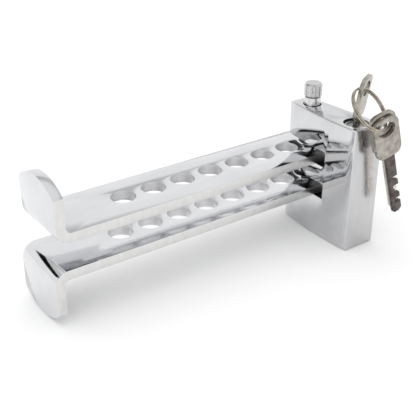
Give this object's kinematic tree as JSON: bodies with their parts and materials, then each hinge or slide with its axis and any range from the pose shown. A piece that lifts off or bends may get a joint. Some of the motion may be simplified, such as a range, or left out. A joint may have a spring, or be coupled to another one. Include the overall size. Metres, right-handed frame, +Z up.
{
  "type": "adjustable pedal lock",
  "caption": "Two hooked flat bars with rows of holes slide in a chromed lock body and are held by a push bolt with a keyed latch; hangs round a vehicle's pedal.",
  "frame": {"origin": "on the underside of the lock body, straight below the axis of the locking bolt", "axes": "+X along the bars from the hooks to the lock body, +Z up along the bolt, -Y towards the key cylinder"},
  "size_m": [0.1888, 0.0737, 0.0964],
  "materials": {
    "polished_chrome": "mirror bright plate over ground steel",
    "satin_steel": "satin, machined",
    "nickel_plate": "warm nickel plate, slightly worn",
    "spring_steel": "drawn wire and strip, bare",
    "lock_brass": "machined brass",
    "blackened_steel": "black oxide"
  },
  "bodies": {
    "body": {"lock_body": "polished_chrome", "cylinder_housing": "satin_steel", "cylinder_grub_screw": "blackened_steel", "bolt_cross_pin": "spring_steel"},
    "upper_bar": {"upper_hook_bar": "polished_chrome"},
    "lower_bar": {"lower_hook_bar": "polished_chrome"},
    "bolt": {"lock_bolt": "polished_chrome", "bolt_cap": "satin_steel", "bolt_spring": "spring_steel"},
    "follower": {"follower_pin": "satin_steel", "follower_spring": "spring_steel"},
    "latch": {"latch_plunger": "satin_steel", "latch_spring": "spring_steel"},
    "plug": {"cylinder_plug": "satin_steel", "wafer_1": "lock_brass", "wafer_2": "lock_brass", "wafer_3": "lock_brass", "wafer_4": "lock_brass", "wafer_5": "lock_brass", "plug_retaining_clip": "spring_steel"},
    "lock_key": {"key_in_lock": "nickel_plate"},
    "ring": {"split_ring": "nickel_plate"},
    "spare_key_a": {"spare_key_1": "nickel_plate"},
    "spare_key_b": {"spare_key_2": "nickel_plate"}
  },
  "joints": [
    {"name": "bolt_press", "type": "slide", "parent": "body", "child": "bolt", "axis": [0, 0, -1], "range_m": [0, 0.0108], "stiffness_N_per_m": 300, "springref_m": -0.004, "deforming": ["bolt_spring"]},
    {"name": "follower_drop", "type": "slide", "parent": "body", "child": "follower", "axis": [0, 0, -1], "range_m": [0, 0.005], "stiffness_N_per_m": 100, "springref_m": -0.002, "deforming": ["follower_spring"]},
    {"name": "upper_bar_slide", "type": "slide", "parent": "body", "child": "upper_bar", "axis": [1, 0, 0], "range_m": [0, 0.1225]},
    {"name": "lower_bar_slide", "type": "slide", "parent": "body", "child": "lower_bar", "axis": [1, 0, 0], "range_m": [0, 0.1225]},
    {"name": "plug_turn", "type": "hinge", "parent": "body", "child": "plug", "pos_m": [-0.0005, -0.0343, 0.0688], "axis": [0, 0, -1], "range_deg": [0, 90]},
    {"name": "latch_throw", "type": "slide", "parent": "body", "child": "latch", "axis": [0, 1, 0], "range_m": [0, 0.0024], "deforming": ["latch_spring"]},
    {"name": "key_withdraw", "type": "slide", "parent": "plug", "child": "lock_key", "axis": [0, 0, 1], "range_m": [0, 0.03]},
    {"name": "ring_swing", "type": "hinge", "parent": "lock_key", "child": "ring", "pos_m": [-0.00682, -0.04051, 0.08812], "axis": [-0.8809, -0.441, -0.172], "range_deg": [0, 4]},
    {"name": "spare_key_a_swing", "type": "hinge", "parent": "ring", "child": "spare_key_a", "pos_m": [0.00302, -0.05117, 0.07305], "axis": [-0.8284, -0.4992, -0.2539], "range_deg": [0, 4]},
    {"name": "spare_key_b_swing", "type": "hinge", "parent": "ring", "child": "spare_key_b", "pos_m": [0.00597, -0.04886, 0.07453], "axis": [-0.6171, -0.6303, -0.471], "range_deg": [0, 4]}
  ],
  "couplings": [
    {"joint": "follower_drop", "follows": "bolt_press", "ratio": 0.46},
    {"joint": "latch_throw", "follows": "plug_turn", "m_per_rad": 0.00152},
    {"joint": "spare_key_b_swing", "follows": "spare_key_a_swing", "ratio": 1}
  ]
}
